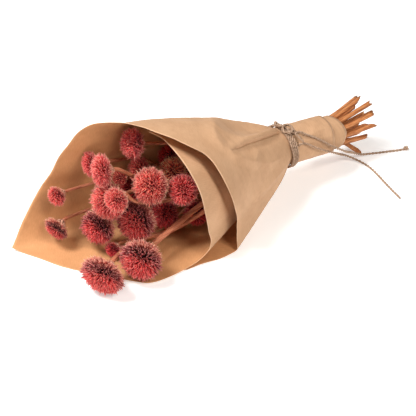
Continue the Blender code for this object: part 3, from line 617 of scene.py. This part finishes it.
def twine_binding(mat, rng):
    """The turns of twine round the neck with their knot: one winding, and four short strands that cross over it."""
    seat = 0.25 + TWINE / 2
    first = NECK[0] + TWINE / 2 + 0.2
    winding = []
    for k in range(int(TWINE_TURNS * 60) + 1):
        turn = KNOT_TURN + 360.0 * k / 60
        wander = TWINE_WANDER * noise.noise(Vector((turn * 0.025, 3.0, 0.0)))
        x = first + (TWINE_TURNS - 1) * TWINE_PITCH * k / (TWINE_TURNS * 60) + wander
        winding.append(around_neck(turn, x, seat))
    lines = [smooth_route(winding, TWINE_STEP)]
    a = math.radians(KNOT_TURN)
    out = np.array((0.0, -math.sin(a), math.cos(a)))
    side = np.array((0.0, -math.cos(a), -math.sin(a)))
    along = np.array((1.0, 0.0, 0.0))
    middle = around_neck(KNOT_TURN, KNOT_X, seat)

    wide, long, high = KNOT_SIZE
    strands = (
        ((-3.6, -2.2, 0.2), (-3.4, 0.8, 1.6), (-1.2, 2.6, 2.4), (1.8, 2.3, 2.6), (3.4, 0.2, 2.3), (2.6, -2.2, 1.9),
         (0.0, -3.0, 1.9), (-2.3, -1.8, 2.6), (-2.6, 0.6, 3.2), (-0.4, 2.2, 3.5), (2.4, 2.6, 2.4), (5.2, 3.2, 0.6)),
        ((-6.6, -3.0, 0.4), (-5.8, -3.3, 1.2), (-4.4, -2.8, 2.0), (-1.8, -0.4, 1.4), (0.8, 0.9, 0.9), (3.8, 2.2, 0.8),
         (7.5, 3.0, 0.4), (12.0, 3.2, 0.0)),
        ((-3.8, -2.8, 1.0), (-5.6, -3.6, 1.4), (-7.2, -3.9, 1.6), (-8.2, -3.2, 1.4), (-7.6, -2.1, 1.0),
         (-5.6, -1.5, 0.8), (-3.4, -0.6, 0.8)),
        ((-1.6, -3.2, 1.0), (1.6, -3.0, 2.0), (3.4, 0.0, 2.6), (1.8, 2.8, 2.2), (-1.6, 2.8, 1.8), (-3.2, 0.2, 1.4),
         (-1.8, -2.4, 0.9)),
    )
    for strand in strands:
        points = [middle + side * s * wide + along * x * long + out * o * high for s, x, o in strand]
        lines.append(smooth_route(points, TWINE_STEP))
    verts, faces, base = [], [], 0
    for line in lines:
        pts, fcs = twisted(line, rng, 1.3, (0.5, 1.8))
        verts.append(pts)
        faces += [tuple(k + base for k in f) for f in fcs]
        base += len(pts)
    return add_piece("twine_winding", np.concatenate(verts), faces, mat, "jute_twine", ["twine_binding"])


def near_line(turn, x, line, per_degree):
    """Distance of a place on the sheet from a line of places, over 0 on its upper side, and the share along it."""
    best, share = 1e9, 0.0
    for i, ((t0, x0), (t1, x1)) in enumerate(zip(line, line[1:])):
        du, dv = (t1 - t0) * per_degree, x1 - x0
        pu, pv = (turn - t0) * per_degree, x - x0
        s = min(max((pu * du + pv * dv) / (du * du + dv * dv), 0.0), 1.0)
        away = math.hypot(pu - s * du, pv - s * dv)
        if away < abs(best):
            best, share = math.copysign(away, du * pv - dv * pu), (i + s) / (len(line) - 1)
    return best, share


def hill(at, middle, half):
    """A smooth bump of height 1."""
    return math.exp(-(((at - middle) / half) ** 2))


def folded(turn, x):
    """The outer layer's folds, pleat and dent, as a height over its smooth shape."""
    per_degree = wrap_radius(turn, x) * math.pi / 180
    high = 0.0
    for line, height, width, power in FOLDS:
        if abs(turn - line[len(line) // 2][0]) * per_degree < 60:
            d, share = near_line(turn, x, line, per_degree)
            if abs(d) < width:
                ends = math.sin(math.pi * min(max(share, 0.06), 0.94)) ** 0.5
                high += height * (1 - abs(d) / width) ** power * ends
    (mid_turn, mid_x), (reach_turn, reach_x), depth = DENT
    s = ((turn - mid_turn) / reach_turn) ** 2 + ((x - mid_x) / reach_x) ** 2
    if s < 1:
        high -= depth * (1 - s) ** 1.5
    if abs(turn - 382) < 45 and PLEAT_HEIGHT[0][0] < x < PLEAT_HEIGHT[-1][0]:
        d, _ = near_line(turn, x, PLEAT, per_degree)
        crest = follow(PLEAT_HEIGHT, x)
        share = crest / max(height for _, height in PLEAT_HEIGHT)
        high += crest * hill(max(d, 0.0), *PLEAT_CREST) * (1.0 if d > 0 else hill(d, 0.0, 0.4))
        for below, half, deep in (PLEAT_GROOVE, PLEAT_VALLEY):
            high -= deep * share * hill(d, -below, half)
    if EDGE_LIFT[0][0] < turn < EDGE_LIFT[-1][0]:
        high += follow(EDGE_LIFT, turn) * hill(x - mouth_edge(turn), 0.0, EDGE_LIFT_REACH)
    return high


def relief(turn, x):
    """How far the sheet stands out of its smooth shape. The inner layer gives way where the outer one is pressed in."""
    toward = NECK[0] - x
    if toward <= 0:
        high = folded(turn, x) * step(turn, *OUTER_LAYER_TURNS) * step(-toward, 0.0, 5.0)
    elif turn < LAST_TURN - 360:
        high = min(folded(turn + 360, x), 0.0) * 0.9
        if turn + 360 > EDGE_LIFT[0][0]:
            behind = x - mouth_edge(turn + 360)
            dip = EDGE_SINK * follow(EDGE_LIFT, min(turn + 360, EDGE_LIFT[-1][0]))
            high -= dip * step(behind, -2.5, 1.5) * hill(max(behind, 0.0), 0.0, 2 * EDGE_LIFT_REACH)
    else:
        high = folded(turn, x) * step(turn, *OUTER_LAYER_TURNS) * step(toward, 0.0, 5.0)
    per_degree = wrap_radius(turn, x) * math.pi / 180
    a = math.radians(turn)
    if toward > 0:
        fade = math.exp(-toward / GATHER_LENGTH) * step(toward, 0.0, 4.0)
        uneven = 0.6 + 0.6 * noise.noise(Vector((math.cos(a) * 1.7, math.sin(a) * 1.7, 7.0)))
        high -= GATHER_DEPTH * uneven * fade * (1 - abs(math.sin(a * GATHERS / 2 + uneven)) ** 0.8)
    else:
        crumple = noise.noise(Vector((turn * per_degree * 0.22, x * 0.16, 1.0)))
        high += CRUMPLE * abs(crumple) * step(turn, 320.0, 340.0) * step(-toward, 8.0, 14.0)
    wave = noise.noise(Vector((math.cos(a) * 1.5, math.sin(a) * 1.5, x * 0.022 + turn * 0.01)))
    fine = noise.noise(Vector((turn * per_degree * 0.10, x * 0.09, 5.0)))
    loose = 0.6 + 0.4 * step(turn, *LAYER_STEP_TURNS)
    return high + (WAVE * wave * step(toward, 6.0, 50.0) + SMALL_WAVE * fine * step(toward, 2.0, 25.0)) * loose


def mouth_edge(turn):
    """Where the sheet ends at the mouth. The sheet's corner is sharp, so the edge is two curves that meet there."""
    corner = [t for t, _ in MOUTH_EDGE].index(CORNER_TURN)
    return follow(MOUTH_EDGE[:corner + 1] if turn < CORNER_TURN else MOUTH_EDGE[corner:], turn)


def paper(mat):
    """The kraft sheet, wound from its inner edge to its outer one."""
    keep = [FIRST_TURN, 128, 133.5, CORNER_TURN, CREASE_TURN, LAST_TURN]
    count = round((LAST_TURN - FIRST_TURN) / COLUMN_TURNS)
    turns = [FIRST_TURN + (LAST_TURN - FIRST_TURN) * i / count for i in range(count + 1)]
    low, high = FINE_TURNS
    turns = [t for t in turns if not low < t < high]
    turns += [low + FINE_COLUMN_TURNS * i for i in range(int((high - low) / FINE_COLUMN_TURNS) + 1)]
    turns = sorted(keep + [t for t in turns if min(abs(t - k) for k in keep) > COLUMN_TURNS * 0.5])
    grid, flat = [], []
    for turn in turns:
        mouth, sleeve = mouth_edge(turn), follow(SLEEVE_EDGE, turn)
        xs = [sleeve + (NECK[0] - sleeve) * i / SLEEVE_ROWS for i in range(SLEEVE_ROWS)]
        xs += [NECK[0] + (mouth - NECK[0]) * (i / MOUTH_ROWS) ** 1.1 for i in range(MOUTH_ROWS + 1)]
        grid.append([wrap_point(turn, x, relief(turn, x)) for x in xs])
        angle = math.radians(turn) * 0.29
        flat.append([((92 - x) * math.cos(angle), (92 - x) * math.sin(angle), 0.0) for x in xs])
    points = np.array(grid)
    cols, rows = points.shape[:2]
    normal = np.cross(np.gradient(points, axis=0), np.gradient(points, axis=1))
    normal /= np.linalg.norm(normal, axis=2, keepdims=True)
    inner, outer = points - normal * SHEET / 2, points + normal * SHEET / 2
    for face in (inner, outer):
        face[:, :, 2] = np.maximum(face[:, :, 2], 0.0)

    def at(side, c, r):
        return (side * cols + c) * rows + r

    faces = []
    for c in range(cols - 1):
        for r in range(rows - 1):
            faces.append((at(0, c, r), at(0, c, r + 1), at(0, c + 1, r + 1), at(0, c + 1, r)))
            faces.append((at(1, c, r), at(1, c + 1, r), at(1, c + 1, r + 1), at(1, c, r + 1)))
        faces.append((at(0, c, 0), at(0, c + 1, 0), at(1, c + 1, 0), at(1, c, 0)))
        faces.append((at(0, c, rows - 1), at(1, c, rows - 1), at(1, c + 1, rows - 1), at(0, c + 1, rows - 1)))
    for r in range(rows - 1):
        faces.append((at(0, 0, r), at(1, 0, r), at(1, 0, r + 1), at(0, 0, r + 1)))
        faces.append((at(0, cols - 1, r), at(0, cols - 1, r + 1), at(1, cols - 1, r + 1), at(1, cols - 1, r)))
    verts = np.concatenate([inner.reshape(-1, 3), outer.reshape(-1, 3)])
    sheet = np.tile(np.array(flat).reshape(-1, 3), (2, 1))
    # Marks the sheet's inside face, which the material paints with warm bounce light and shade.
    inside = np.repeat((0.0, 1.0), cols * rows)
    # Marks the sheet's cut edges, where the material paints a highlight.
    edge = np.zeros((2, cols, rows))
    edge[:, :, (0, -1)] = 1.0
    edge[:, (0, -1), :] = 1.0
    return add_piece("paper", verts, faces, mat, "kraft_paper", ["paper_wrap"],
                     values=[("sheet", "FLOAT_VECTOR", sheet), ("inside", "FLOAT", inside), ("edge", "FLOAT", edge)])


def head_frame(facing):
    """The way a head faces, and two ways across it."""
    out = np.array(facing, float)
    out /= np.linalg.norm(out)
    u = np.cross(out, (0, 0, 1))
    u /= np.linalg.norm(u)
    return out, u, np.cross(out, u)


def bristly_head(number, spot, width, facing, dark, brown, darker_redder, mat, calyx_mat, rng):
    """A head: a dark core, bristles all over it that lean from its middle, and a calyx of small pale scales."""
    out, u, v = head_frame(facing)
    axes = np.array([u, v, out])
    half, front, back = (share * width for share in CORE)
    count = int(BRISTLES * width * width)
    k = np.arange(count) + 0.5
    last = math.cos(LAST_BRISTLE)
    cosine = 1 - (1 - last) * k / count
    turn = math.pi * (1 + 5 ** 0.5) * k + rng.normal(0, 0.06, count)
    polar = np.arccos(np.clip(cosine + rng.normal(0, 0.012, count), -1, 1))
    sphere = np.stack([np.sin(polar) * np.cos(turn), np.sin(polar) * np.sin(turn), np.cos(polar)], axis=1)
    deep = np.where(sphere[:, 2] > 0, front, back)
    foot = sphere * np.stack([np.full(count, half), np.full(count, half), deep], axis=1)
    lean = foot - np.array((0, 0, -0.06 * width))
    lean /= np.linalg.norm(lean, axis=1, keepdims=True)
    lean += rng.normal(0, 0.13, (count, 3))
    lean /= np.linalg.norm(lean, axis=1, keepdims=True)
    side_share = np.sin(np.minimum(polar, math.pi / 2)) ** 2
    length = width * (BRISTLE_LENGTH[0] + (BRISTLE_LENGTH[1] - BRISTLE_LENGTH[0]) * side_share)
    length *= rng.uniform(0.82, 1.10, count)
    curl = rng.normal(0, 0.16, (count, 3)) + np.array((0, 0, 0.10))
    across = np.cross(lean, rng.normal(0, 1, (count, 3)))
    across /= np.linalg.norm(across, axis=1, keepdims=True)
    other = np.cross(lean, across)
    size = (width / 30) ** 0.35
    rings, along = [], []
    for share, thick in zip((-0.08, 0.5, 0.86), BRISTLE):
        middle = foot + lean * (length * share)[:, None] + curl * (length * max(share, 0) ** 2)[:, None]
        for corner in range(3):
            a = math.tau * corner / 3
            rings.append(middle + (across * math.cos(a) + other * math.sin(a) * 0.7) * thick * size)
            along.append(np.full(count, max(share, 0.0)))
    rings.append(foot + lean * length[:, None] + curl * length[:, None])
    along.append(np.ones(count))
    shown = PALE_FOOT * (1 - min(dark * 1.2, 1))
    along = [shown + (1 - shown) * share for share in along]
    local = np.stack(rings, axis=1).reshape(-1, 3)
    per = len(rings)
    start = np.arange(count)[:, None] * per
    tris = []
    for low in (0, 3):
        for corner in range(3):
            nxt = (corner + 1) % 3
            tris.append(start + np.array([low + corner, low + nxt, low + 3 + nxt]))
            tris.append(start + np.array([low + corner, low + 3 + nxt, low + 3 + corner]))
    for corner in range(3):
        tris.append(start + np.array([6 + corner, 6 + (corner + 1) % 3, 9]))
    tris.append(start + np.array([2, 1, 0]))
    faces = np.concatenate(tris).tolist()

    above = sphere @ axes @ BAND_WAY
    edge = 1.45 - 0.75 * dark - 0.45 * dark * above + rng.normal(0, 0.12, count) + 0.12 * np.sin(turn * 2 + number)
    band = np.clip((polar - edge) / 0.35, 0, 1) * (0.45 + 0.55 * min(dark * 1.3, 1))
    rim = np.clip((polar - edge - 0.55 - 0.35 * dark) / 0.30, 0, 1) * rng.uniform(0.55, 1.0, count)
    chance = rng.uniform(0, 1, count)

    # The core takes the colour of the bristles' feet, with the same painted deep shade.
    core, core_faces = core_mesh(half * 0.97, front * 0.97, back * 0.97)
    bristle_points = len(local)
    local = np.concatenate([local, core])
    faces += [[i + bristle_points for i in f] for f in core_faces]

    def spread(data):
        return np.concatenate([np.repeat(data, per), np.zeros(len(core))])

    values = [
        ("along", "FLOAT", np.concatenate([np.stack(along, axis=1).ravel(), np.full(len(core), shown * 0.8)])),
        ("band", "FLOAT", spread(band)),
        ("rim", "FLOAT", spread(rim)),
        ("chance", "FLOAT", spread(chance)),
        ("brown", "FLOAT", spread(np.clip(brown + rng.normal(0, 0.12, count), 0, 1))),
        ("darker_redder", "FLOAT", spread(np.clip(darker_redder + rng.normal(0, 0.15, count), 0, 1))),
    ]
    centre = np.array(spot, float) + out * CORE_BACK * width
    local[:, 2] *= FLAT_HEADS.get(number, 1.0)
    placed = centre + local @ axes
    placed[:, 2] = np.maximum(placed[:, 2], 0.05)
    add_piece(f"bristles_{number:02d}", placed, faces, mat, "dried_bristles", [f"head_{number:02d}"], values=values)
    scales, scale_faces = calyx_mesh(width, rng)
    add_piece(f"calyx_{number:02d}", np.array(spot, float) + scales @ axes, scale_faces, calyx_mat, "dried_stem")


def core_mesh(half, front, back, sides=16, rows=9):
    """A small closed button."""
    rings = []
    for r in range(rows - 1, 0, -1):
        a = math.pi * r / rows
        deep = front if a < math.pi / 2 else back
        angles = math.tau * np.arange(sides) / sides
        rings.append(np.stack([half * math.sin(a) * np.cos(angles), half * math.sin(a) * np.sin(angles),
                               np.full(sides, deep * math.cos(a))], axis=1))
    return loft(rings)


def calyx_mesh(head_width, rng, sides=12):
    """The cone behind a head, with two rows of pointed scales pressed to it. Small heads have the fullest ones."""
    width = head_width * (1.35 - 0.35 * step(head_width, 15.0, 23.0))
    angles = math.tau * np.arange(sides) / sides
    rings = [
        np.stack([radius * width * np.cos(angles), radius * width * np.sin(angles),
                  np.full(sides, deep * width)], axis=1)
        for radius, deep in reversed(CALYX)
    ]
    points, faces = loft(rings)
    verts, base = [points], len(points)
    for row, (low, high, spread) in enumerate(((-0.33, -0.16, 0.20), (-0.27, -0.07, 0.25))):
        for k in range(9):
            a = math.tau * (k + 0.5 * row) / 9 + rng.normal(0, 0.08)
            reach = high + rng.uniform(-0.02, 0.02)
            out = spread + rng.uniform(-0.02, 0.03)
            way = np.array((math.cos(a), math.sin(a), 0.0))
            across = np.array((-math.sin(a), math.cos(a), 0.0))
            foot = (way * 0.085 + np.array((0, 0, low))) * width
            tip = (way * out + np.array((0, 0, reach))) * width
            belly = foot * 0.5 + tip * 0.5 + way * 0.025 * width
            wide = 0.055 * width
            thick = np.array((0, 0, -0.012 * width))
            verts.append(np.array([foot - across * wide * 0.5, foot + across * wide * 0.5, belly + across * wide,
                                   belly - across * wide, tip, foot + thick, belly + thick]))
            b = base
            faces += [(b + 3, b + 2, b + 1, b), (b + 4, b + 2, b + 3), (b + 5, b, b + 1), (b + 5, b + 6, b + 3, b),
                      (b + 6, b + 5, b + 1, b + 2), (b + 6, b + 4, b + 3), (b + 6, b + 2, b + 4)]
            base += 7
    return np.concatenate(verts), faces


def stem_line(node, start):
    """Middles of the rings of a stem's solid, from its head to its cut end, in the layout."""
    bm = bmesh.new()
    bm.from_mesh(node.data)
    bmesh.ops.remove_doubles(bm, verts=bm.verts, dist=1e-6)
    seat = place(start)
    ring = set(sorted(bm.verts, key=lambda vert: (vert.co - seat).length)[:6])
    seen, line = set(ring), []
    while ring:
        middle = sum((vert.co for vert in ring), Vector()) / len(ring)
        line.append(np.array(middle) / MM - np.array(TO_MIDDLE))
        ring = {edge.other_vert(vert) for vert in ring for edge in vert.link_edges} - seen
        seen |= ring
    bm.free()
    return line


def stem_width(head_width, x):
    """A solid stem's width at x."""
    thin = STEM_THIN + (STEM - STEM_THIN) * step(head_width, *STEM_THIN_HEADS)
    return thin + (STEM - thin) * step(x, *STEM_TAPER_X)


def ridged_stem(number, spot, width, facing, node, mat, rng):
    """A stem on its solid's line: ridged, slightly knobbly, cut at a slant and splintered at the cut."""
    out, _, _ = head_frame(facing)
    start = np.array(spot, float) - out * 0.34 * width
    line = stem_line(node, start)
    line = [line[0] + out * 0.06 * width] + line
    points = smooth_route(line, STEM_STEP)
    ahead, u, v = frames_along(points)
    phase, slant_turn = rng.uniform(0, math.tau), rng.uniform(0, math.tau)
    slant = rng.uniform(0.7, 2.2)
    flat = rng.uniform(0.0, 0.16)
    angles = math.tau * np.arange(STEM_SIDES) / STEM_SIDES
    rings, outside, cut = [], [], []
    for i, p in enumerate(points):
        twist = phase + i * 0.02
        ridge = 1 + 0.055 * np.cos(RIDGES * angles + twist) + 0.03 * np.cos(3 * angles + phase * 2 + i * 0.05)
        knob = 1 + 0.07 * noise.noise(Vector((p[0] * 0.09, number * 3.7, phase)))
        slim = 1 - STEM_SLIM * step(32.0 - width, 0.0, 6.0) * step(-p[0], -10.0, 30.0)
        radius = stem_width(width, p[0]) / 2 * STEM_FIT * slim * ridge * knob
        radius = radius * (1 - flat * np.cos(2 * angles + phase))
        ring = p + radius[:, None] * (np.outer(np.cos(angles), u[i]) + np.outer(np.sin(angles), v[i]))
        if i == len(points) - 1:
            ring = ring + np.outer(np.cos(angles + slant_turn) * slant * STEM / 2, ahead[i])
        elif i >= len(points) - 4:
            part = (i - (len(points) - 4)) / 3.0
            ring = ring + np.outer(np.cos(angles + slant_turn) * slant * STEM / 2 * part, ahead[i])
        rings.append(ring)
        outside += [step(p[0], 40.0, 85.0)] * STEM_SIDES
        cut += [0.0] * STEM_SIDES
    lip = rings[-1].mean(axis=0)
    rings.append(lip + (rings[-1] - lip) * 0.80 - ahead[-1] * 0.25)
    outside += [1.0] * STEM_SIDES
    cut += [1.0] * STEM_SIDES
    verts, faces = loft(rings)
    verts, base = [verts], len(verts)
    for _ in range(rng.randrange(1, 4)):
        a = rng.uniform(0, math.tau)
        k = int(a / math.tau * STEM_SIDES) % STEM_SIDES
        foot = rings[-2][k] * 0.92 + lip * 0.08 - ahead[-1] * 2.0
        tip = foot + ahead[-1] * rng.uniform(3.0, 6.5) + (u[-1] * math.cos(a) + v[-1] * math.sin(a)) * 0.4
        wide = rng.uniform(0.35, 0.7)
        side = np.cross(ahead[-1], rings[-2][k] - lip)
        side = side / np.linalg.norm(side) * wide
        deep = (lip - rings[-2][k]) * 0.3
        verts.append(np.array([foot + side, foot - side, foot + deep, tip]))
        faces += [(base, base + 1, base + 3), (base + 1, base + 2, base + 3), (base + 2, base, base + 3),
                  (base + 2, base + 1, base)]
        outside += [1.0] * 4
        cut += [0.3] * 4
        base += 4
    return add_piece(f"stalk_{number:02d}", np.concatenate(verts), faces, mat, "dried_stem", [f"stem_{number:02d}"],
                     values=[("outside", "FLOAT", outside), ("cut", "FLOAT", cut)])


def add_camera():
    a, e = math.radians(CAMERA_TURN), math.radians(CAMERA_RISE)
    back = Vector((math.sin(a) * math.cos(e), -math.cos(a) * math.cos(e), math.sin(e)))
    cam = bpy.data.objects.new("camera", bpy.data.cameras.new("camera"))
    bpy.context.scene.collection.objects.link(cam)
    cam.location = place(Vector(CAMERA_TARGET) + back * CAMERA_DISTANCE)
    cam.rotation_euler = (-back).to_track_quat("-Z", "Y").to_euler()
    cam.data.lens = CAMERA_LENS
    cam.data.sensor_width = CAMERA_SENSOR
    cam.data.clip_start, cam.data.clip_end = 0.05, 20.0
    bpy.context.scene.camera = cam


def add_light(name, way, size, power, colour):
    """A square soft light that looks at the bouquet from the way it stands in."""
    way = Vector(way).normalized()
    data = bpy.data.lights.new(name, "AREA")
    data.size = size
    data.energy = power
    data.color = colour
    lamp = bpy.data.objects.new(name, data)
    bpy.context.scene.collection.objects.link(lamp)
    lamp.location = Vector(LIGHT_AIM) + way * LIGHT_DISTANCE
    lamp.rotation_euler = (-way).to_track_quat("-Z", "Y").to_euler()


def add_studio():
    """A pale floor, a dim surround, a key light from behind over the mouth and two fills, in front and at the mouth."""
    bpy.ops.mesh.primitive_plane_add(size=FLOOR_SIZE, location=(0, 0, 0))
    floor = bpy.context.object
    floor.name = "floor"
    floor.data.materials.append(floor_material())
    world = bpy.data.worlds.new("studio")
    bpy.context.scene.world = world
    world.use_nodes = True
    background = world.node_tree.nodes["Background"]
    background.inputs["Color"].default_value = (*SURROUND_COLOUR, 1.0)
    background.inputs["Strength"].default_value = SURROUND
    for name, settings in LIGHTS.items():
        add_light(name, *settings)
    view = bpy.context.scene.view_settings
    view.view_transform = "Standard"
    view.look = "None"


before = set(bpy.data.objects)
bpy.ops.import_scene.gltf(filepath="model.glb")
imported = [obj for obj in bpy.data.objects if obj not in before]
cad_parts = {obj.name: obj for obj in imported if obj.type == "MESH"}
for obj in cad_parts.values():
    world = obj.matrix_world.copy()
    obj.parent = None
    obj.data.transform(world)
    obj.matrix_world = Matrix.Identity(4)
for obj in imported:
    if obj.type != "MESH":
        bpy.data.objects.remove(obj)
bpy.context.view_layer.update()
add_camera()
draws = random.Random(SEED)
twine = twine_material()
twine_ends(twine, draws)
twine_binding(twine, draws)
paper(kraft_material())
petals, scales = bristle_material(), calyx_material()
stalk = stem_material()
for index, (spot, width, facing, *look) in enumerate(HEADS, 1):
    bristly_head(index, spot, width, facing, *look, petals, scales, np.random.default_rng(SEED + index))
    ridged_stem(index, spot, width, facing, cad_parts[f"stem_{index:02d}"], stalk, draws)
add_studio()
